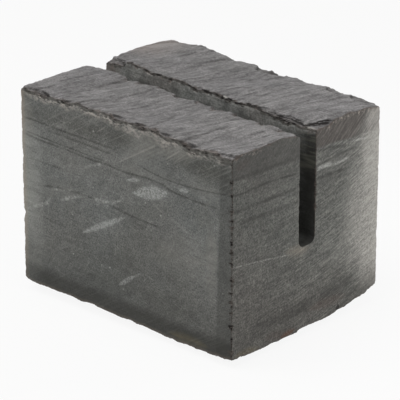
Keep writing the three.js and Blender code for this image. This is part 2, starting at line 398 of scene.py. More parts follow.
# Larger bites out of an arris: the axis that it runs along, how deep they are, and where each one starts and
# where it is deepest and ends. Laminae end in teeth along the slot, the saw's exit left a row of teeth down
# the front right arris, and the front left arris has a notch.
bites = {
    ("top", "slot front"): (0, 0.75, [
        (-15.5, -19.2), (-9.9, -15.2), (5.6, -4.4), (12.2, 6.8), (17.8, 13.3), (24.8, 20.1), (28.8, 26.1),
    ]),
    ("front", "right"): (2, 1.25, [
        (3.4, 4.1), (8.8, 9.9), (12.4, 13.1), (15.7, 14.9), (16.9, 17.5), (20.9, 19.9), (23.8, 24.3),
        (26.9, 26.2), (28.1, 28.6), (31.6, 32.3), (34, 33.4), (35.2, 35.9), (39.1, 39.6), (42.3, 41.7),
    ]),
    ("front", "left"): (2, 1.4, [(17, 18.3), (19.6, 18.3)]),
}
on_top = at_z == z_count - 1
broken = np.where(on_top, 0.35 * np.minimum(1, top_lost[at_x, at_y, 0] / 0.9), 0)
# Shade is painted where light hardly reaches: on the floors of deep flakes, at the risers round them, and
# along torn laminae at the front rim and at the slot's right corner.
flake_floor_shade = np.interp(top_lost[at_x, at_y, 0], [0, 0.45, 0.85, 1.1], [0, 0.55, 0.55, 1.2])
rim_tear_shade = torn[at_x, at_y, 1] * np.clip(1.5 - (points[:, 1] - block_low[1]) / 2, 0, 1)
torn_corner_shade = 1.8 * corner[at_x, at_y, 1] + 0.6 * corner[at_x, at_y, 0]
shaded_places = [1.5 * top_lost[at_x, at_y, 1], flake_floor_shade, rim_tear_shade, torn_corner_shade]
painted_shade = np.where(on_top, np.maximum.reduce(shaded_places), 0)
# Along the slot's rear rim the shade painted in the chips is deeper in some places, and lighter in others.
rear_shade_course = [
    (-31, -0.3), (-28, -0.3), (-25, 0.4), (-21, 0.25), (-18, 0), (-15.5, -0.4), (-13, 0), (-8, -0.35),
    (-6, 0), (-4.5, -0.5), (-3, 0.5), (0, -0.3), (3, 0), (6.5, 0.2), (9, -0.4), (13.5, -0.4), (16, 0.2),
    (18.5, 0.4), (21, 0), (22.5, 0.9), (25.5, -0.3), (27, 0.4), (28, -0.9), (30.4, -0.9), (31, 0.2),
]
rear_shade_extra = np.interp(points[:, 0], *zip(*rear_shade_course))
moved = np.zeros_like(points)
for order, (first, second, down, inward, least, chip, shadow) in enumerate(arrises):
    nearness = depth_from[first] / down + depth_from[second] / inward
    push = np.array(outward[first]) / down + np.array(outward[second]) / inward
    push /= 1 / down**2 + 1 / inward**2
    axis, deepest, runs = bites.get((first, second), (0, 0, []))
    for i in np.flatnonzero(nearness < 2):
        spot = Vector(points[i])
        patch = noise.fractal(spot / chip + Vector((0, 0, 7.0 * order)), 0.6, 2.3, 4)
        lost = least + 0.9 * max(0, patch + 0.05) + 0.25 * noise.noise(spot / 0.55)
        for start, stop in runs:
            share = (points[i, axis] - start) / (stop - start)
            lost += deepest * share if 0 < share < 1 else 0
        if nearness[i] < lost:
            moved[i] -= push * (lost - nearness[i])
            bare = min(1, (lost - nearness[i]) * 2.5)
            close = max(0, min(1, 1.4 - depth_from[first][i] / (0.5 * down)))
            broken[i] = max(broken[i], bare)
            darker = rear_shade_extra[i] if second == "slot rear" else 0
            deep = max(0.1, 0.8 + darker + noise.noise(spot / 3.5) + 1.5 * noise.noise(spot / 0.8))
            painted_shade[i] = max(painted_shade[i], shadow * bare * close * deep)
points += moved
# The front left corner is rubbed, so its chips get less painted shade.
painted_shade *= np.clip(np.hypot(points[:, 0] - block_low[0], points[:, 1] - block_low[1]) / 7, 0.2, 1)

block_mesh = bpy.data.meshes.new("slate_block_stone")
block_mesh.from_pydata((points * MM).tolist(), [], faces)
block_mesh.polygons.foreach_set("material_index", finishes)
# How far in mm the painted shade at the ends of torn laminae reaches down from the top, most at the front's
# right half, and how far the stone below the rim is bruised, most in the middle of the front.
in_slot = (at_y >= first_wall) & (at_y <= last_wall)
torn_course = [(-31, 0.75), (4, 0.75), (11, 0.6), (14, 0.9), (21, 1.1), (26, 1.4), (31, 1.2)]
torn_reach = np.where(in_slot, 0.6, np.interp(points[:, 0], *zip(*torn_course)))
bruise_course = [(-31, 1.7), (-24, 1.9), (-12, 2), (-4, 2.2), (2, 3), (11, 3), (17, 2.1), (31, 2.2)]
bruise_reach = np.interp(points[:, 0], *zip(*bruise_course))
# The finishes read these at each point, with the shade to paint. Ledge is how near it is to the end of a
# lamina.
ledge = np.where(at_z == 0, 0.5 * under_relief[at_x, at_y, 1], top_ledge[at_x, at_y])
under_top = np.clip(depth_from["top"], 0, 60)
traits = {
    "broken": broken, "painted_shade": painted_shade, "torn_reach": torn_reach, "bruise_reach": bruise_reach, "ledge": ledge,
    "under_top": under_top, "over_foot": depth_from["under"],
}
for name, values in traits.items():
    block_mesh.attributes.new(name, "FLOAT", "POINT").data.foreach_set("value", values)
block_mesh.shade_smooth()
block_mesh.set_sharp_from_angle(angle=math.radians(38))
block_mesh.validate()
stone = bpy.data.objects.new("slate_stone", block_mesh)
bpy.context.scene.collection.objects.link(stone)
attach(stone, "root")
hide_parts("slate_block")


def linear(hex_colour):
    """Linear colour of an sRGB hex value."""
    parts = [int(hex_colour[i:i + 2], 16) / 255 for i in (1, 3, 5)]
    return [p / 12.92 if p <= 0.04045 else ((p + 0.055) / 1.055) ** 2.4 for p in parts] + [1]


def add(tree, kind, links=None, out=None, **settings):
    """Adds a node with its settings, and sets or links its sockets.

    It gives the output that is named, or else the first one in use.
    """
    made = tree.nodes.new("ShaderNode" + kind)
    for name, value in settings.items():
        setattr(made, name, value)
    for key, value in (links or {}).items():
        named = (socket for socket in made.inputs if socket.name == key and socket.enabled)
        socket = made.inputs[key] if isinstance(key, int) else next(named)
        if isinstance(value, bpy.types.NodeSocket):
            tree.links.new(value, socket)
        else:
            socket.default_value = value
    return made.outputs[out] if out else next(socket for socket in made.outputs if socket.enabled)


def placed(tree):
    """Place of each point in mm, from the origin of the frame."""
    from_origin = tree.nodes.new("ShaderNodeTexCoord").outputs["Object"]
    per_mm = (1 / MM, 1 / MM, 1 / MM)
    return add(tree, "VectorMath", {0: from_origin, 1: per_mm}, operation="MULTIPLY")


def streaks(tree, place, size, detail, roughness=0.5, turn=(0, 0, 0)):
    """Noise drawn out into streaks, with their size in mm along each axis and the turn of these axes."""
    drawn_out = {"Vector": place, "Rotation": turn, "Scale": size}
    drawn_out = add(tree, "Mapping", drawn_out, vector_type="TEXTURE")
    pattern = {"Vector": drawn_out, "Scale": 1.0, "Detail": detail, "Roughness": roughness}
    return add(tree, "TexNoise", pattern)


# A mask or a tone is a number, an output, or a ramp. A ramp has an output, the values of that where the ramp
# starts and ends, and what the ramp gives there, which is 0 and 1 if left out.
ramp_parts = ("Value", "From Min", "From Max", "To Min", "To Max")


def stained(tree, below, hex_colour, *masks):
    """A colour with another laid over it, by the masks multiplied together."""
    share = 1.0
    for mask in masks:
        if isinstance(mask, tuple):
            mask = add(tree, "MapRange", dict(zip(ramp_parts, mask)))
        share = add(tree, "Math", {0: share, 1: mask}, operation="MULTIPLY")
    over = {"Factor": share, "A": below, "B": linear(hex_colour)}
    return add(tree, "Mix", over, data_type="RGBA")


def shaded(tree, colour, *tones):
    """A colour made lighter or darker by each of the tones in turn."""
    for tone in tones:
        if isinstance(tone, tuple):
            tone = add(tree, "MapRange", dict(zip(ramp_parts, tone)))
        under = {"Factor": 1.0, "A": colour, "B": tone}
        colour = add(tree, "Mix", under, data_type="RGBA", blend_type="MULTIPLY")
    return colour


# Beds of the slate are given as heights in mm above the foot at the block's middle, each with its tone, up
# to this height. The split faces and the slot lie in one bed each.
bed_range = 50
one_bed = [(0, 1), (bed_range, 1)]


def slate(name, cool, warm, beds, grit, dull, bright):
    """A new finish of the slate, with its nodes, place in mm, axes of that, bed level, colour and grain.

    Grit is the size of its speckles in mm. Dull and bright are how far those depart from the stone's tone.
    """
    finish = bpy.data.materials.new(name)
    finish.use_nodes = True
    block_mesh.materials.append(finish)
    tree = finish.node_tree
    place = placed(tree)
    patchy = add(tree, "TexNoise", {"Vector": place, "Scale": 1 / 22, "Detail": 3})
    share = (patchy, 0.35, 0.65)
    colour = stained(tree, linear(cool), warm, share)
    # The beds dip a little to the back and the right, waver by half a millimetre, and step up past the slot.
    dip = add(tree, "VectorMath", {0: place, 1: (0.045, 0.06, 1)}, "Value", operation="DOT_PRODUCT")
    waver = add(tree, "MapRange", {"Value": patchy, "To Min": -1.2, "To Max": 1.2}, clamp=False)
    level = add(tree, "Math", {0: dip, 1: waver}, operation="ADD")
    axes = add(tree, "SeparateXYZ", {"Vector": place}).node.outputs
    fold = {"Value": axes["Y"], "From Min": slot_front, "From Max": slot_rear, "To Max": -1.3}
    level = add(tree, "Math", {0: level, 1: add(tree, "MapRange", fold)}, operation="ADD")
    bed = tree.nodes.new("ShaderNodeValToRGB")
    ramp = bed.color_ramp.elements
    for _ in beds[2:]:
        ramp.new(0.5)
    for stop, (height, tone) in zip(ramp, beds):
        stop.position = height / bed_range
        stop.color = (tone, tone, tone, 1)
    on_ramp = add(tree, "Math", {0: level, 1: bed_range}, operation="DIVIDE")
    tree.links.new(on_ramp, bed.inputs["Fac"])
    # Streaks along the beds, cloudy patches, and mineral grains, which are finer than this in real slate.
    flat = add(tree, "VectorMath", {0: place, 1: (1 / 12, 1 / 12, 0)}, operation="MULTIPLY")
    layer = add(tree, "Math", {0: level, 1: 1 / 0.6}, operation="MULTIPLY")
    streak = {0: flat, 1: add(tree, "CombineXYZ", {"Z": layer})}
    streak = add(tree, "VectorMath", streak, operation="ADD")
    streak = add(tree, "TexNoise", {"Vector": streak, "Scale": 1.0, "Detail": 4, "Roughness": 0.65})
    streak = (streak, 0.3, 0.7, 0.86, 1.14)
    cloud = add(tree, "TexNoise", {"Vector": place, "Scale": 1 / 6, "Detail": 6, "Roughness": 0.7})
    cloud = (cloud, 0.3, 0.7, 0.78, 1.22)
    grain = {"Vector": place, "Scale": 1 / grit, "Detail": 2, "Roughness": 0.8}
    grain = add(tree, "TexNoise", grain)
    speckle = (grain, 0.26, 0.74, dull, bright)
    mottle = {"Vector": place, "Scale": 1 / 1.1, "Detail": 3, "Roughness": 0.7}
    mottle = add(tree, "TexNoise", mottle)
    mottle = (mottle, 0.3, 0.7, 0.8, 1.2)
    colour = shaded(tree, colour, bed.outputs["Color"], streak, cloud, mottle, speckle)
    return tree, place, axes, level, colour, grain


def dressed(tree, place, colour, grain, roughness, relief, depth, torn=False):
    """Lays the broken arrises over a finish, and joins colour, roughness and relief to its shader.

    A torn finish shows the ends of laminae below the top, dark with painted shade.
    """
    lost = add(tree, "Attribute", out="Fac", attribute_name="broken")
    painted_shade = add(tree, "Attribute", out="Fac", attribute_name="painted_shade")
    # Broken laminae show as slivers of painted shade, 2 mm long and 0.26 mm thick, with bruised stone
    # between.
    sliver = streaks(tree, place, (2, 2, 0.26), detail=3)
    dark = {"Value": sliver, "From Min": 0.6, "From Max": 0.47, "To Min": 0.15}
    colour = stained(tree, colour, "#7d726b", lost, 0.6)
    sliver_shade = add(tree, "MapRange", dark)
    if torn:
        # The band of torn lamina ends is painted shade, grey and then nearly black.
        ragged = streaks(tree, place, (2, 2, 0.9), detail=4, roughness=0.6)
        below = add(tree, "Attribute", out="Fac", attribute_name="under_top")
        most = add(tree, "Attribute", out="Fac", attribute_name="torn_reach")
        below = add(tree, "Math", {0: below, 1: most}, operation="DIVIDE")
        reach = add(tree, "Math", {0: ragged, 1: -3.6, 2: below}, operation="MULTIPLY_ADD")
        ends = {"Value": reach, "From Min": -0.7, "From Max": -1, "To Max": 0.85}
        ends = add(tree, "MapRange", ends)
        colour = stained(tree, colour, "#575551", ends)
        deep = add(tree, "TexNoise", {"Vector": place, "Scale": 1 / 1.7, "Detail": 3})
        deep = (deep, 0.47, 0.62)
        colour = stained(tree, colour, "#1f1b19", ends, sliver_shade, deep)
    # Painted shade in the chips and in the slivers.
    colour = stained(tree, colour, "#15110f", painted_shade, sliver_shade)
    shader = tree.nodes["Principled BSDF"]
    tree.links.new(colour, shader.inputs["Base Color"])
    sheen = {"Value": grain, "To Min": roughness - 0.12, "To Max": roughness + 0.12}
    tree.links.new(add(tree, "MapRange", sheen), shader.inputs["Roughness"])
    shader.inputs["IOR"].default_value = 1.5
    shader.inputs["Specular IOR Level"].default_value = 0.25
    height = add(tree, "Math", {0: sliver, 1: lost, 2: relief}, operation="MULTIPLY_ADD")
    bump = add(tree, "Bump", {"Strength": 0.8, "Distance": depth * MM, "Height": height})
    tree.links.new(bump, shader.inputs["Normal"])


# Riven slate: the split face of the top and underside. It has a soft satin gleam and a purplish grey colour,
# with fine ripples along the cleavage and a dark line where a lamina ends.
stone_nodes = slate("riven_slate", "#797777", "#7a7877", one_bed, grit=0.38, dull=0.48, bright=1.6)
tree, place, axes, level, colour, grain = stone_nodes
turned = (0, 0, math.radians(-ripple_turn))
ripple = streaks(tree, place, (0.7, 7, 1), detail=4, roughness=0.7, turn=turned)
tone = (ripple, 0.3, 0.7, 0.58, 1.42)
# Hairlines, where the thinnest laminae end, are a tenth of a millimetre wide and about a centimetre long.
hair = streaks(tree, place, (1.6, 9, 1), detail=3, roughness=0.6, turn=turned)
hair = add(tree, "Math", {0: hair, 1: 0.5}, operation="SUBTRACT")
hair = add(tree, "Math", {0: hair}, operation="ABSOLUTE")
line = (hair, 0, 0.03, 0.8)
# Lighter towards the right end: painted light.
painted_light_rightward = (axes["X"], 4, 26, 0.99, 1.2)
colour = shaded(tree, colour, tone, line, painted_light_rightward)
# On the top, the back left corner is paler and warmer, and two bruises lie at the slot's rear rim.
leftmost = (axes["X"], -21, -31, 0, 0.65)
rearmost = (axes["Y"], 7, 13)
topside = add(tree, "MapRange", {"Value": axes["Z"], "From Min": 30, "From Max": 40})
colour = stained(tree, colour, "#a59b95", leftmost, rearmost, topside)
behind = (axes["Y"], 0, slot_rear - 0.5)
for bruised_at, reach, depth in ((4.8, 0.9, 1), (29, 1.7, 1.1)):
    edge, inner = slot_rear + depth, slot_rear + 0.4 * depth
    rim = (axes["Y"], edge, inner, 0, 0.6)
    off = add(tree, "Math", {0: axes["X"], 1: bruised_at}, operation="SUBTRACT")
    off = add(tree, "Math", {0: off}, operation="ABSOLUTE")
    here = (off, reach, 0.4 * reach)
    colour = stained(tree, colour, "#d6d2cb", rim, behind, here, topside)
end_of_lamina = add(tree, "Attribute", out="Fac", attribute_name="ledge")
colour = stained(tree, colour, "#3a3634", end_of_lamina, 0.6)
relief = add(tree, "Math", {0: grain, 1: 0.3, 2: ripple}, operation="MULTIPLY_ADD")
dressed(tree, place, colour, grain, roughness=0.56, relief=relief, depth=0.3)

# Sawn slate of the two long sides: a matt greenish grey, rubbed almost smooth, so its beds show. The front
# has pale lens-shaped flecks where the rock enclosed something, and a darker strip of painted shade where the
# saw ran out.
side_beds = [
    (0, 0.78), (6, 0.8), (12, 0.86), (19, 0.95), (31, 1.02), (36, 0.98), (41, 0.88), (44, 0.78),
    (bed_range, 0.72),
]
stone_nodes = slate("sawn_slate_side", "#707270", "#71716e", side_beds, grit=0.36, dull=0.34, bright=1.72)
tree, place, axes, level, colour, grain = stone_nodes
on_front = add(tree, "MapRange", {"Value": axes["Y"], "From Min": -20, "From Max": -23})


def lenses(tree, place, grain, marks, way, blur=0.28):
    """Share of a colour that lens-shaped marks of a sawn face take, with frayed rims.

    A mark has its middle along and up, length, thickness, slope in degrees and strength. Way is the axis
    along the face, and blur is how soft the rims are.
    """
    frayed = add(tree, "MapRange", {"Value": grain, "To Min": -1.2, "To Max": 1.2}, clamp=False)
    share = 0.0
    for along, up, length, thickness, slope, strength in marks:
        turn = math.radians(slope)
        fitted = add(tree, "Mapping", {
            "Vector": place,
            "Location": (along, 0, up) if way == "X" else (0, along, up),
            "Rotation": (0, -turn, 0) if way == "X" else (turn, 0, 0),
            "Scale": (length / 2, length / 2, thickness / 2),
        }, vector_type="TEXTURE")
        axes = add(tree, "SeparateXYZ", {"Vector": fitted}).node.outputs
        blunt = add(tree, "Math", {0: axes[way]}, operation="ABSOLUTE")
        taper = add(tree, "Math", {0: blunt, 1: 2.4}, operation="POWER")
        out = add(tree, "Math", {0: axes["Z"]}, operation="ABSOLUTE")
        reach = add(tree, "Math", {0: taper, 1: out}, operation="ADD")
        reach = add(tree, "Math", {0: reach, 1: frayed}, operation="ADD")
        inside = {"Value": reach, "From Min": 1 + blur / 2, "From Max": 1 - blur / 2, "To Max": strength}
        inside = add(tree, "MapRange", inside)
        share = add(tree, "Math", {0: share, 1: inside}, operation="MAXIMUM")
    return share


# A curve node runs from 0 to 1 both ways, for this many mm along a face, about its middle, and up it.
curve_run = 64
curve_rise = 50


def traced(tree, along, up, lines):
    """Share of a colour that thin lines of a sawn face take.

    A line has its strength, its thickness in mm, and its course as points along and up in mm.
    """
    on_curve = add(tree, "Math", {0: along, 1: 1 / curve_run, 2: 0.5}, operation="MULTIPLY_ADD")
    share = 0.0
    for strength, thickness, course in lines:
        bend = tree.nodes.new("ShaderNodeFloatCurve")
        points = bend.mapping.curves[0].points
        for _ in course[2:]:
            points.new(0.5, 0.5)
        for point, (run, height) in zip(points, course):
            point.location = (run / curve_run + 0.5, height / curve_rise)
        bend.mapping.update()
        tree.links.new(on_curve, bend.inputs["Value"])
        off = {0: bend.outputs["Value"], 1: -curve_rise, 2: up}
        off = add(tree, "Math", off, operation="MULTIPLY_ADD")
        off = add(tree, "Math", {0: off}, operation="ABSOLUTE")
        line = {"Value": off, "From Min": thickness / 2, "From Max": thickness / 10, "To Max": strength}
        line = add(tree, "MapRange", line)
        start, end = course[0][0], course[-1][0]
        fade = min(2, 0.15 * (end - start))
        for tip, inner in ((start, start + fade), (end, end - fade)):
            stop = add(tree, "MapRange", {"Value": along, "From Min": tip, "From Max": inner})
            line = add(tree, "Math", {0: line, 1: stop}, operation="MULTIPLY")
        share = add(tree, "Math", {0: share, 1: line}, operation="MAXIMUM")
    return share


# Marks of the front. First come the broad changes of tone, then the seams, the flecks, the dotted trail
# between them, and the saw's scratches.
dark_patches = [
    (-23, 43, 13, 4, 4, 0.35), (-1.7, 43.4, 8, 4, 4, 0.5), (23, 42.6, 20, 3.6, -4, 0.45),
    (-8, 14, 22, 5, 3, 0.2), (27.6, 40.6, 8, 2.4, 0, 0.4), (-12, 43, 14, 3, 2, 0.45),
    (3, 20, 14, 14, 20, 0.22), (14, 15, 13, 10, 0, 0.2), (9, 30.6, 14, 4, 10, 0.18),
    (-18, 15.6, 12, 3, 0, 0.18), (7, 5.6, 16, 3, 0, 0.2), (0, 15.4, 10, 10, 0, 0.36),
    (11, 21, 10, 6, 0, 0.28), (12, 9.5, 18, 6, -4, 0.32), (4, 33.4, 6, 4, 0, 0.25),
    (15.7, 15.6, 8, 5, 0, 0.32), (-4, 9.6, 18, 5, 3, 0.28), (4.6, 27, 5, 8, 10, 0.3),
    (23.4, 32, 5, 5, 0, 0.25), (25, 43, 11, 5, 0, 0.65), (-12, 17, 14, 6, 0, 0.24),
    (-16.6, 24, 5, 6, 0, 0.16),
]
light_patches = [
    (5.3, 43.2, 12, 6, 31, 0.4), (19, 22.5, 18, 7, 4, 0.24), (-17, 34, 20, 4, 2, 0.14),
    (15, 44.6, 13, 3, 8, 0.4), (7, 38, 16, 4, 4, 0.2), (22.5, 38.8, 9, 3, 4, 0.3),
    (25.2, 24.6, 3.6, 10, 0, 0.5), (25.3, 18.4, 3.2, 7, 0, 0.4), (-24, 10.5, 11, 5, 0, 0.2),
    (-22, 26.4, 14, 4, 8, 0.22), (-28.6, 7.6, 7, 5, 0, 0.3), (-28.8, 26, 6, 12, 0, 0.3),
    (-29.5, 41, 5, 8, 0, 0.42),
]
wiped = streaks(tree, place, (7, 7, 1.3), detail=4, roughness=0.65)
wiped = add(tree, "MapRange", {"Value": wiped, "From Min": 0.35, "From Max": 0.62, "To Min": 0.35})
darker = lenses(tree, place, grain, dark_patches, "X", blur=1.4)
colour = stained(tree, colour, "#45453f", darker, on_front)
lighter = lenses(tree, place, grain, light_patches, "X", blur=1.4)
colour = stained(tree, colour, "#97958e", lighter, wiped, on_front)
side_seams = [
    (0.64, 0.8, [
        (-31, 37.4), (-26.7, 37), (-17.8, 36.8), (-7.8, 36.5), (-4.5, 36.7), (-2.6, 36.4), (11.5, 36.4),
        (13.1, 35.9), (16.6, 35.5), (27.7, 35.3),
    ]),
    (0.58, 0.55, [(-31, 38), (-20.9, 37.6), (-11.2, 37.3), (-5, 37.2)]),
    (0.58, 0.8, [(-31, 40.9), (-27.7, 41.1), (-17.7, 40.8), (-7.9, 40.8), (0, 40.6)]),
    (0.48, 0.9, [(-23.7, 39.7), (-13.3, 39.6), (-2.2, 39.3)]),
    (0.42, 0.6, [(-30.7, 31.6), (-26.2, 31.9), (-21, 31.9), (-17.5, 32)]),
    (0.54, 0.75, [(-25.2, 26.4), (-19.4, 27.2), (-12.3, 27.6), (-6, 27.6), (0.8, 26.9), (11.4, 26.5)]),
    (0.58, 0.6, [(3.9, 39.1), (10.6, 38.1), (18.8, 38), (30.9, 39.3)]),
]
worn = add(tree, "TexNoise", {"Vector": place, "Scale": 1 / 2.5, "Detail": 4})
worn = add(tree, "MapRange", {"Value": worn, "From Min": 0.35, "From Max": 0.55, "To Min": 0.4})
colour = stained(tree, colour, "#33332f", traced(tree, axes["X"], axes["Z"], side_seams), worn)
flecks = [
    (7.8, 33.6, 10.6, 2.9, 15, 0.76), (-6.2, 22.3, 15, 1.35, 29, 0.63), (2.9, 35.2, 3.8, 0.9, 14, 0.6),
    (17.6, 36.8, 2.8, 1.1, 14, 0.55), (0.6, 11.3, 6.4, 1, 36, 0.62), (3.6, 13.4, 4, 0.4, 34, 0.3),
]
crystals = {"Vector": place, "Scale": 1 / 0.4, "Detail": 2, "Roughness": 0.7}
crystals = add(tree, "TexNoise", crystals)
sugary = (crystals, 0.38, 0.6, 0.2)
flecked = lenses(tree, place, grain, flecks, "X", blur=0.2)
colour = stained(tree, colour, "#bcbebb", flecked, sugary, on_front)
trail = [
    (0.55, 1.4, [(-31, 18.8), (-26, 21.4), (-22, 23.4)]), (0.55, 0.8, [(-22.4, 26.2), (-15.4, 27.9)]),
    (0.6, 1.4, [(-19.4, 24.3), (-14.5, 26.7), (-10.4, 28)]), (0.55, 0.9, [(-12, 34.1), (-5.6, 36.8)]),
    (0.65, 1.2, [(-9.6, 27.7), (-4.5, 28), (-1.9, 29), (0.6, 31)]),
]
dots = add(tree, "TexNoise", {"Vector": place, "Scale": 1 / 0.5, "Detail": 1})
dots = (dots, 0.45, 0.66, 0.2)
colour = stained(tree, colour, "#bfc0bb", traced(tree, axes["X"], axes["Z"], trail), dots, on_front)
scratches = [
    (0.4, 0.6, [(-3, 37.2), (10.5, 45.3)]), (0.35, 0.5, [(4.2, 41.7), (10.1, 45.2)]),
    (0.4, 0.6, [(12.1, 42.2), (17, 45.8)]), (0.35, 0.5, [(14.6, 42.2), (18.2, 45.1)]),
    (0.3, 0.5, [(-8.1, 43.1), (-5, 45.2)]), (0.3, 0.4, [(8.5, 31.5), (11.6, 29.9)]),
]
scratched = traced(tree, axes["X"], axes["Z"], scratches)
colour = stained(tree, colour, "#b0ada7", scratched, worn, on_front)
# Specks of pyrite and mica, a quarter of a millimetre across, most of them dull; the bright ones are painted
# glints.
spark = add(tree, "TexVoronoi", {"Vector": place, "Scale": 1 / 2.2}).node.outputs
speck = (spark["Distance"], 0.13, 0.05)
painted_glint = add(tree, "SeparateColor", {"Color": spark["Color"]}, "Red")
painted_glint = (painted_glint, 0.55, 1, 0, 0.55)
colour = stained(tree, colour, "#c8c8c2", speck, painted_glint)
# Fine scratches of the polishing run every way, here in two sets that cross, 0.25 mm apart.
for turn in (-58, 17):
    hairs = streaks(tree, place, (5, 5, 0.25), detail=2, turn=(0, math.radians(turn), 0))
    hairs = (hairs, 0.56, 0.74, 0, 0.2)
    colour = stained(tree, colour, "#a2a29b", hairs)
# The strip at the right where the saw ran out is darker, with painted shade for the step it left. The left
# end is rubbed paler and carries a painted highlight, strongest at its edge, with a brownish arris.
run_out_shade = add(tree, "Math", {0: axes["Z"], 1: -0.03, 2: axes["X"]}, operation="MULTIPLY_ADD")
run_out_shade = (run_out_shade, 26.1, 26.8, 0, 0.48)
colour = stained(tree, colour, "#3b3b38", run_out_shade, on_front)
rubbed_and_highlight = (axes["X"], -23.8, -25.6)
leftward = (axes["X"], -24, -31, 0.15, 0.75)
upper = (axes["Z"], 9, 18, 0.3)
lower = (axes["Z"], 42, 36)
dusty = add(tree, "Mix", {"Factor": 0.6, "A": wiped, "B": grain})
dusty = (dusty, 0.35, 0.75, 0.3)
colour = stained(tree, colour, "#a9aba6", rubbed_and_highlight, leftward, upper, lower, dusty, on_front)
arris = (axes["X"], -29.4, -30.9, 0, 0.45)
colour = stained(tree, colour, "#b0a08f", arris, on_front)
# The foot has drawn up damp and grime, and is darkened by painted shade, less so at the left. It is
# scuffed, and has a yellow stain.
over_foot = add(tree, "Attribute", out="Fac", attribute_name="over_foot")
damp_and_shade = (over_foot, 12, 4, 0, 0.32)
colour = stained(tree, colour, "#3a3a36", damp_and_shade)
grime_and_shade = {"Value": over_foot, "From Min": 5.6, "From Max": 2.8, "To Max": 0.68}
grime_and_shade = add(tree, "MapRange", grime_and_shade, interpolation_type="SMOOTHSTEP")
less_at_left = (axes["X"], -30, -25, 0.45)
colour = stained(tree, colour, "#302f2b", grime_and_shade, less_at_left)
scuffed = (over_foot, 1.1, 0.3, 0, 0.3)
colour = stained(tree, colour, "#8a7d72", scuffed)
yellowed = lenses(tree, place, grain, [(18.6, 3, 10, 1.7, 0, 0.36)], "X", blur=1.7)
colour = stained(tree, colour, "#837759", yellowed, wiped, on_front)
# Below the top rim the stone is bruised in pale blotches.
under_top = add(tree, "Attribute", out="Fac", attribute_name="under_top")
most = add(tree, "Attribute", out="Fac", attribute_name="bruise_reach")
near_top = add(tree, "Math", {0: under_top, 1: most}, operation="DIVIDE")
near_top = (near_top, 1.1, 0.45)
bruise = streaks(tree, place, (0.9, 0.9, 0.5), detail=3, roughness=0.6)
bruise = (bruise, 0.4, 0.62, 0, 0.9)
here = add(tree, "TexNoise", {"Vector": place, "Scale": 1 / 5, "Detail": 2})
here = (here, 0.36, 0.58, 0.4)
colour = stained(tree, colour, "#c1bab2", bruise, near_top, here)
# Saw strokes slope up at 31 degrees, 0.4 mm apart and a centimetre long. They show most near the top.
strokes = streaks(tree, place, (11, 11, 0.4), detail=3, roughness=0.6, turn=(0, math.radians(-31), 0))
scratch = (strokes, 0.5, 0.74, 0, 0.3)
high_up = (under_top, 14, 5, 0.3)
colour = stained(tree, colour, "#a5a59f", scratch, high_up)
dressed(tree, place, colour, grain, roughness=0.68, relief=strokes, depth=0.08, torn=True)

# Sawn slate of the two ends: as the sides, but with the saw's strokes left plain to see. Towards the back
# edge, where the blade bit hardest, they show more, and there their light and dark are partly painted sheen.
end_beds = [
    (0, 0.86), (8, 0.9), (24, 0.92), (31, 0.93), (38, 0.92), (42, 0.9), (42.5, 0.7), (43.4, 0.78),
    (bed_range, 0.78),
]
stone_nodes = slate("sawn_slate_end", "#62635f", "#65635f", end_beds, grit=0.42, dull=0.4, bright=1.75)
tree, place, axes, level, colour, grain = stone_nodes
on_right = add(tree, "MapRange", {"Value": axes["X"], "From Min": 20, "From Max": 28})
# The strokes are arcs about the saw's axle, 0.3 mm apart and 4.5 mm long, but straight in the top bed.
saw_axle = (0, -45, 230)
on_face = add(tree, "VectorMath", {0: place, 1: (0, 1, 1)}, operation="MULTIPLY")
from_axle = add(tree, "VectorMath", {0: on_face, 1: saw_axle}, "Value", operation="DISTANCE")
arc = add(tree, "CombineXYZ", {"X": from_axle, "Y": axes["Y"], "Z": axes["X"]})
strokes = streaks(tree, arc, (0.3, 4.5, 4.5), detail=2, roughness=0.6)
steep = streaks(tree, place, (6, 6, 0.5), detail=3, roughness=0.65, turn=(math.radians(40), 0, 0))
top_bed = add(tree, "MapRange", {"Value": level, "From Min": 42, "From Max": 42.6})
strokes = add(tree, "Mix", {"Factor": top_bed, "A": strokes, "B": steep})
# Stronger towards the back: the blade's bite, and a painted sheen.
bite_and_sheen = {"Value": axes["Y"], "From Min": -14, "From Max": 22, "To Min": 0.1, "To Max": 0.4}
bite_and_sheen = add(tree, "MapRange", bite_and_sheen)
scratch = (strokes, 0.47, 0.68)
colour = stained(tree, colour, "#b7b4ac", scratch, bite_and_sheen)
dull = (strokes, 0.48, 0.3)
colour = stained(tree, colour, "#33322f", dull, bite_and_sheen)
# The pale corner at the back, rubbed paler and with a painted highlight. Near the top its edge leans back.
lean = add(tree, "Math", {0: axes["Z"], 1: -0.68, 2: axes["Y"]}, operation="MULTIPLY_ADD")
lean = add(tree, "MapRange", {"Value": lean, "From Min": -14, "From Max": -10.2})
high = add(tree, "MapRange", {"Value": axes["Z"], "From Min": 36, "From Max": 41})
lean = add(tree, "Mix", {"Factor": high, "A": 1.0, "B": lean})
aslant = add(tree, "Math", {0: axes["Z"], 1: -0.17, 2: axes["Y"]}, operation="MULTIPLY_ADD")
rubbed_and_highlight = {"Value": aslant, "From Min": 5.5, "From Max": 20}
rubbed_and_highlight = add(tree, "MapRange", rubbed_and_highlight, interpolation_type="SMOOTHSTEP")
not_low = add(tree, "Math", {0: axes["Y"], 1: 0.9, 2: axes["Z"]}, operation="MULTIPLY_ADD")
not_low = (not_low, 20, 31)
mottle = add(tree, "Mix", {"Factor": 0.5, "A": strokes, "B": grain})
mottle = {"Value": mottle, "From Min": 0.36, "From Max": 0.6, "To Min": 0.3, "To Max": 0.85}
mottle = add(tree, "MapRange", mottle)
colour = stained(tree, colour, "#bab6b0", rubbed_and_highlight, lean, not_low, on_right, mottle)
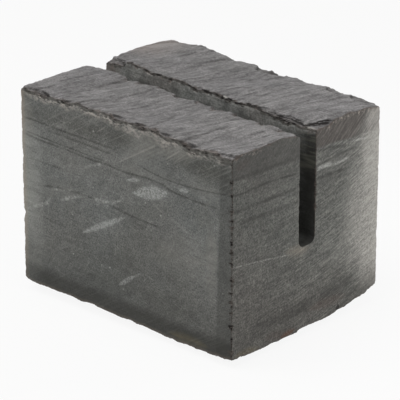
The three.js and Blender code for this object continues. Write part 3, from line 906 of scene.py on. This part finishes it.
powder = {"Vector": place, "Scale": 1 / 0.4, "Detail": 2, "Roughness": 0.8}
powder = add(tree, "TexNoise", powder)
powder = (powder, 0.28, 0.72, 0.55, 1.45)
colour = shaded(tree, colour, powder)
# Palest at the back edge, where the highlight is painted strongest.
palest_with_highlight = (axes["Y"], 17, 23, 0, 0.4)
colour = stained(tree, colour, "#bdbab4", palest_with_highlight, lean, on_right, mottle)
light_patches = [(21.5, 39.5, 7, 11, 0, 0.4), (15, 24, 9, 15, 0, 0.22), (9, 16, 9, 6, 20, 0.15)]
lighter = lenses(tree, place, grain, light_patches, "Y", blur=1.4)
colour = stained(tree, colour, "#b6b3ad", lighter, on_right, mottle)
dark_patches = [
    (7.5, 33.5, 11, 13, 0, 0.22), (-13, 39.8, 18, 5, 0, 0.2), (-13, 27.5, 12, 5, 0, 0.16),
    (-7, 18.8, 10, 5, 10, 0.16), (7.5, 9.5, 9, 6, 10, 0.25), (2, 6, 9, 4, 0, 0.2), (-19, 5, 8, 5, 0, 0.2),
    (-7, 3.6, 9, 3, 0, 0.2),
]
darker = lenses(tree, place, grain, dark_patches, "Y", blur=1.4)
colour = stained(tree, colour, "#3b3a36", darker, on_right)
# The top bed is darker, and brown behind the slot, where its strokes show both bright and dark.
not_pale = add(tree, "MapRange", {"Value": lean, "To Min": 0.45, "To Max": 0.1})
colour = stained(tree, colour, "#464340", top_bed, not_pale)
behind = add(tree, "MapRange", {"Value": axes["Y"], "From Max": 4, "To Max": 0.7})
colour = stained(tree, colour, "#4a3a33", top_bed, not_pale, behind)
bright = (steep, 0.5, 0.7, 0, 0.27)
colour = stained(tree, colour, "#a89e97", bright, top_bed, behind)
faint = (steep, 0.47, 0.3, 0, 0.5)
colour = stained(tree, colour, "#2b2523", faint, top_bed, behind)
# Marks of the ends: seams on both, and on the right one wisps along the beds, a dotted line, a bruise under
# the slot, stains and a pit.
end_seams = [
    (0.4, 1.6, [(-23.2, 42.4), (-14.3, 42.3), (-5.8, 42.1), (-3.1, 41.7)]),
    (0.7, 0.8, [(-24, 39.3), (-21.2, 39), (-11.8, 39), (-6.7, 38.6), (-2, 38.1)]),
    (0.65, 1.3, [(-24, 35.4), (-14.7, 35.2), (-2, 35)]),
    (0.5, 1.5, [(-22.6, 32.6), (-11.5, 32.1), (-2, 31.8)]),
    (0.3, 0.5, [(-9.8, 27.5), (-7.5, 27.9), (-5, 28)]),
    (0.5, 1.2, [(2, 41.6), (8, 40.9), (13, 40)]),
    (0.5, 1, [(2, 38), (7.1, 38.5), (11.5, 38.8), (17, 38.7)]),
    (0.74, 1.3, [(2, 35.2), (8.5, 35.1), (13.8, 34.8)]),
    (0.5, 5, [(-18.3, 6.8), (-5, 6.9), (6, 7.2), (16, 8.6)]),
    (0.35, 1.2, [(-11.6, 6.4), (-5.4, 6.9)]),
]
worn = add(tree, "TexNoise", {"Vector": place, "Scale": 1 / 2.5, "Detail": 4})
worn = (worn, 0.35, 0.55, 0.5)
colour = stained(tree, colour, "#2c2b28", traced(tree, axes["Y"], axes["Z"], end_seams), worn)
wisps = [
    (0.75, 1.4, [(2.8, 37.4), (4.9, 37.5), (8, 37.2)]), (0.5, 1.1, [(7.4, 36.9), (10, 37), (13.7, 37.2)]),
    (0.55, 0.7, [(14.2, 40.5), (17.1, 40.3), (19.8, 39.9)]), (0.4, 0.6, [(20.6, 39.4), (23.7, 38.8)]),
    (0.3, 0.6, [(19, 35.2), (23.7, 34.2)]), (0.12, 0.5, [(0.4, 4.9), (6.1, 4.6), (12.8, 6.7)]),
]
frayed = add(tree, "Mix", {"Factor": 0.5, "A": strokes, "B": grain})
frayed = (frayed, 0.42, 0.6, 0.15)
colour = stained(tree, colour, "#c9c9c5", traced(tree, axes["Y"], axes["Z"], wisps), frayed, on_right)
dotted_line = [(0.6, 0.45, [(-24, 23.2), (-15.7, 22.1), (-4.2, 20.2)])]
dots = add(tree, "TexNoise", {"Vector": place, "Scale": 1 / 0.5, "Detail": 1})
dots = (dots, 0.4, 0.6)
dotted = traced(tree, axes["Y"], axes["Z"], dotted_line)
colour = stained(tree, colour, "#b3b2ad", dotted, dots, on_right)
bruised = lenses(tree, place, grain, [(-3, 20.7, 7, 2, -10, 0.5)], "Y", blur=1.8)
colour = stained(tree, colour, "#ada293", bruised, mottle, on_right)
brown_stains = [(7, 5.2, 12, 2.4, -3, 0.35), (-10, 3.1, 7, 2.2, -10, 0.25), (-20.5, 45.2, 5, 2, 10, 0.18)]
rust_stains = [(-5.9, 2.2, 4.4, 1.2, 5, 0.6)]
yellow_stains = [(-19, 2.4, 8, 1.6, -4, 0.22)]
pits = [(10.7, 2.7, 1.5, 1.4, 0, 0.9)]
for hex_colour, blur, marks in (
    ("#55443d", 0.9, brown_stains), ("#66412c", 1.6, rust_stains), ("#8b7d59", 1.0, yellow_stains),
    ("#0e0c0b", 0.28, pits),
):
    share = lenses(tree, place, grain, marks, "Y", blur)
    colour = stained(tree, colour, hex_colour, share, on_right)
# Grime and painted shade at the foot towards the back, and pale bruises below the top rim, but not near the
# slot.
over_foot = add(tree, "Attribute", out="Fac", attribute_name="over_foot")
grime_and_shade = (over_foot, 7, 1.5, 0, 0.4)
rearward = (axes["Y"], 4, 16)
colour = stained(tree, colour, "#3d3935", grime_and_shade, rearward)
under_top = add(tree, "Attribute", out="Fac", attribute_name="under_top")
near_top = (under_top, 1.4, 0.5)
bruise = {"Vector": place, "Scale": 1 / 0.7, "Detail": 4, "Roughness": 0.7}
bruise = add(tree, "TexNoise", bruise)
bruise = (bruise, 0.54, 0.64, 0, 0.8)
off = add(tree, "Math", {0: axes["Y"], 1: 5}, operation="ADD")
off = add(tree, "Math", {0: off}, operation="ABSOLUTE")
here = (off, 9, 11)
colour = stained(tree, colour, "#b5aba2", bruise, near_top, here)
dressed(tree, place, colour, grain, roughness=0.66, relief=strokes, depth=0.09)

# Sawn slate inside the slot: the same cut in deeper stone, dulled by the slurry that dries there and darkened
# deeper down by painted shade, with strokes along the slot and brown stains at both ends.
stone_nodes = slate("sawn_slate_slot", "#8e908d", "#8b8985", one_bed, grit=0.42, dull=0.55, bright=1.5)
tree, place, axes, level, colour, grain = stone_nodes
strokes = streaks(tree, place, (9, 2, 0.7), detail=4)
tone = (strokes, 0.35, 0.65, 0.82, 1.16)
blotch = add(tree, "TexNoise", {"Vector": place, "Scale": 1 / 3, "Detail": 4})
blotch = (blotch, 0.35, 0.65, 0.84, 1.16)
colour = shaded(tree, colour, tone, blotch)
under_top = add(tree, "Attribute", out="Fac", attribute_name="under_top")
# Darker deeper down: dried slurry, and painted shade.
slurry_and_shade = {"Value": under_top, "From Min": 2, "From Max": 7, "To Max": 0.8}
slurry_and_shade = add(tree, "MapRange", slurry_and_shade, interpolation_type="SMOOTHSTEP")
colour = stained(tree, colour, "#2b2b28", slurry_and_shade)
# The stain at the right end is the darker one, deepened by a painted shadow that fades at the rim. Pale bands
# cross it near the top.
off_rim = {"Value": under_top, "From Min": 0.5, "From Max": 1.4, "To Min": 0.2}
off_rim = add(tree, "MapRange", off_rim)
brown_and_shadow = (axes["X"], 26.8, 28.8, 0, 0.75)
upper = (axes["Z"], 22, 40, 0.5)
colour = stained(tree, colour, "#262421", brown_and_shadow, upper, off_rim)
near_end = add(tree, "MapRange", {"Value": axes["X"], "From Min": 25, "From Max": 26.6})
high = (axes["Z"], 40, 42, 0, 0.5)
colour = stained(tree, colour, "#1e1d1a", near_end, high, off_rim)
bands = streaks(tree, place, (6, 2, 0.9), detail=2)
bands = (bands, 0.5, 0.65, 0, 0.5)
shallow = (axes["Z"], 35, 38)
colour = stained(tree, colour, "#77776c", bands, near_end, shallow)
left_end = (axes["X"], -25.5, -29, 0, 0.6)
colour = stained(tree, colour, "#52453e", left_end)
dressed(tree, place, colour, grain, roughness=0.75, relief=strokes, depth=0.1, torn=True)

# Rubber feet: four round stick-on pads near the corners, so that the uneven stone stands level and doesn't
# scratch. Each is a moulded disc of black rubber on a film of clear glue, which fills the dips above it.
pad_rim = 0.32
glue_thickness = 0.3
glue_inset = 0.25
into_stone = 0.5


def lathed(name, centre, profile, around=56):
    """A turned mesh about an upright axis, from a profile of radius and height in mm.

    The profile starts and ends on the axis.
    """
    turned = bpy.data.meshes.new(name)
    ring = [i * math.tau / around for i in range(around)]
    rows = [[(r * math.cos(a), r * math.sin(a), z) for a in ring] if r else [(0, 0, z)] for r, z in profile]
    starts = np.cumsum([0] + [len(row) for row in rows])
    corners = []
    for row in range(len(rows) - 1):
        for i in range(around):
            low = [starts[row] + (k % around if len(rows[row]) > 1 else 0) for k in (i, i + 1)]
            high = [starts[row + 1] + (k % around if len(rows[row + 1]) > 1 else 0) for k in (i + 1, i)]
            corners.append([int(c) for c in dict.fromkeys(low + high)])
    points = [[MM * (c + o) for c, o in zip(centre, offset)] for row in rows for offset in row]
    turned.from_pydata(points, [], corners)
    turned.shade_smooth()
    turned.set_sharp_from_angle(angle=math.radians(40))
    return turned


# Black rubber: a soft matt black that greys with dust, with a fine tooth left by the mould.
rubber = bpy.data.materials.new("black_rubber")
rubber.use_nodes = True
tree = rubber.node_tree
place = placed(tree)
tooth = add(tree, "TexNoise", {"Vector": place, "Scale": 1 / 0.15, "Detail": 2})
dust = add(tree, "TexNoise", {"Vector": place, "Scale": 1 / 1.8, "Detail": 4})
dusty = (dust, 0.45, 0.75, 0, 0.4)
colour = stained(tree, linear("#1c1c1d"), "#5d5b57", dusty)
shader = tree.nodes["Principled BSDF"]
tree.links.new(colour, shader.inputs["Base Color"])
sheen = add(tree, "MapRange", {"Value": dust, "To Min": 0.62, "To Max": 0.9})
tree.links.new(sheen, shader.inputs["Roughness"])
bump = add(tree, "Bump", {"Strength": 0.5, "Distance": 0.05 * MM, "Height": tooth})
tree.links.new(bump, shader.inputs["Normal"])

# Clear acrylic glue: a thin yellowish bead, a little cloudy where it has pulled on the stone.
glue = bpy.data.materials.new("acrylic_glue")
glue.use_nodes = True
tree = glue.node_tree
place = placed(tree)
haze = add(tree, "TexNoise", {"Vector": place, "Scale": 1 / 0.8, "Detail": 3})
shader = tree.nodes["Principled BSDF"]
tree.links.new(stained(tree, linear("#8d877a"), "#b9b4a6", haze), shader.inputs["Base Color"])
sheen = add(tree, "MapRange", {"Value": haze, "To Min": 0.2, "To Max": 0.5})
tree.links.new(sheen, shader.inputs["Roughness"])

for name in ("foot_front_left", "foot_front_right", "foot_rear_left", "foot_rear_right"):
    low, high = (np.array(corner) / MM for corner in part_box(name))
    centre = ((low[0] + high[0]) / 2, (low[1] + high[1]) / 2, low[2])
    radius = (high[0] - low[0]) / 2
    tall = high[2] - low[2]
    bend = np.radians([0, 22.5, 45, 67.5, 90])
    rounded = [(radius - pad_rim * (1 - math.sin(b)), pad_rim * (1 - math.cos(b))) for b in bend]
    pad_top = tall - glue_thickness
    bulge = (radius + 0.03, pad_top * 0.6)
    shoulder = [(radius, pad_top - 0.1), (radius - 0.1, pad_top)]
    pad_profile = [(0, 0), (radius * 0.5, 0), *rounded, bulge, *shoulder, (0, pad_top)]
    glue_radius = radius - glue_inset
    bead = [(glue_radius - 0.08, pad_top + 0.15), (glue_radius, tall + into_stone)]
    glue_profile = [(0, pad_top), (glue_radius, pad_top), *bead, (0, tall + into_stone)]
    layers = {"pad": (pad_profile, rubber), "glue": (glue_profile, glue)}
    for layer, (profile, finish) in layers.items():
        piece_name = f"{name}_{layer}"
        piece = bpy.data.objects.new(piece_name, lathed(piece_name, centre, profile))
        piece.data.materials.append(finish)
        bpy.context.scene.collection.objects.link(piece)
        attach(piece, "root")
        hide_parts(name)

# Studio: a pale table top, soft light from above and from both sides, and a long lens. The lens and the
# reflections see table and backdrop as plain white, though these throw less light than that on the block.
bpy.ops.mesh.primitive_plane_add(size=4)
table = bpy.context.object
table.name = "table_top"
table.location.z = -0.02 * MM


def seen_plainly(tree):
    """1 for rays of the lens, of reflections and of what is seen through something, and 0 for all others."""
    path = tree.nodes.new("ShaderNodeLightPath").outputs
    seen = {0: path["Is Camera Ray"], 1: path["Is Glossy Ray"]}
    seen = add(tree, "Math", seen, operation="MAXIMUM")
    return add(tree, "Math", {0: seen, 1: path["Is Transmission Ray"]}, operation="MAXIMUM")


paper = bpy.data.materials.new("white_paper_sweep")
paper.use_nodes = True
tree = paper.node_tree
shader = tree.nodes["Principled BSDF"]
shader.inputs["Base Color"].default_value = linear("#f4f4f2")
shader.inputs["Roughness"].default_value = 0.9
shader.inputs["Specular IOR Level"].default_value = 0.1
glow = add(tree, "Emission", {"Color": (1, 1, 1, 1), "Strength": 1.0})
mostly = add(tree, "Math", {0: seen_plainly(tree), 1: 0.9}, operation="MULTIPLY")
blend = add(tree, "MixShader", {0: mostly, 1: shader.outputs[0], 2: glow})
tree.links.new(blend, tree.nodes["Material Output"].inputs["Surface"])
table.data.materials.append(paper)

world = bpy.data.worlds.new("white_studio")
bpy.context.scene.world = world
world.use_nodes = True
tree = world.node_tree
backdrop = tree.nodes["Background"]
backdrop.inputs["Color"].default_value = (1, 1, 1, 1)
strength = add(tree, "MapRange", {"Value": seen_plainly(tree), "To Min": 0.2, "To Max": 1.0})
tree.links.new(strength, backdrop.inputs["Strength"])

lamps_aim = Vector((0, 0, 0.025))
for lamp_name, place, size, watts in (
    ("overhead_softbox", (-0.05, -0.16, 0.6), 0.45, 2.0),
    ("left_softbox", (-0.45, -0.45, 0.35), 0.4, 0.8),
    ("right_softbox", (0.095, 0.09, 0.035), 0.05, 0.05),
):
    lamp = bpy.data.lights.new(lamp_name, "AREA")
    lamp.size = size
    lamp.energy = watts
    holder = bpy.data.objects.new(lamp_name, lamp)
    holder.location = place
    holder.rotation_mode = "QUATERNION"
    holder.rotation_quaternion = (lamps_aim - Vector(place)).to_track_quat("-Z", "Y")
    holder.visible_camera = False
    bpy.context.scene.collection.objects.link(holder)

lens = bpy.data.cameras.new("long_lens")
lens.lens = 243.5
lens.sensor_width = 36
camera = bpy.data.objects.new("camera", lens)
camera.location = (0.37307, -0.40413, 0.24772)
camera.rotation_mode = "QUATERNION"
lens_aim = Vector((0.00008, 0.00007, 0.02271))
camera.rotation_quaternion = (lens_aim - camera.location).to_track_quat("-Z", "Y")
bpy.context.scene.collection.objects.link(camera)
bpy.context.scene.camera = camera
bpy.context.scene.view_settings.view_transform = "Standard"
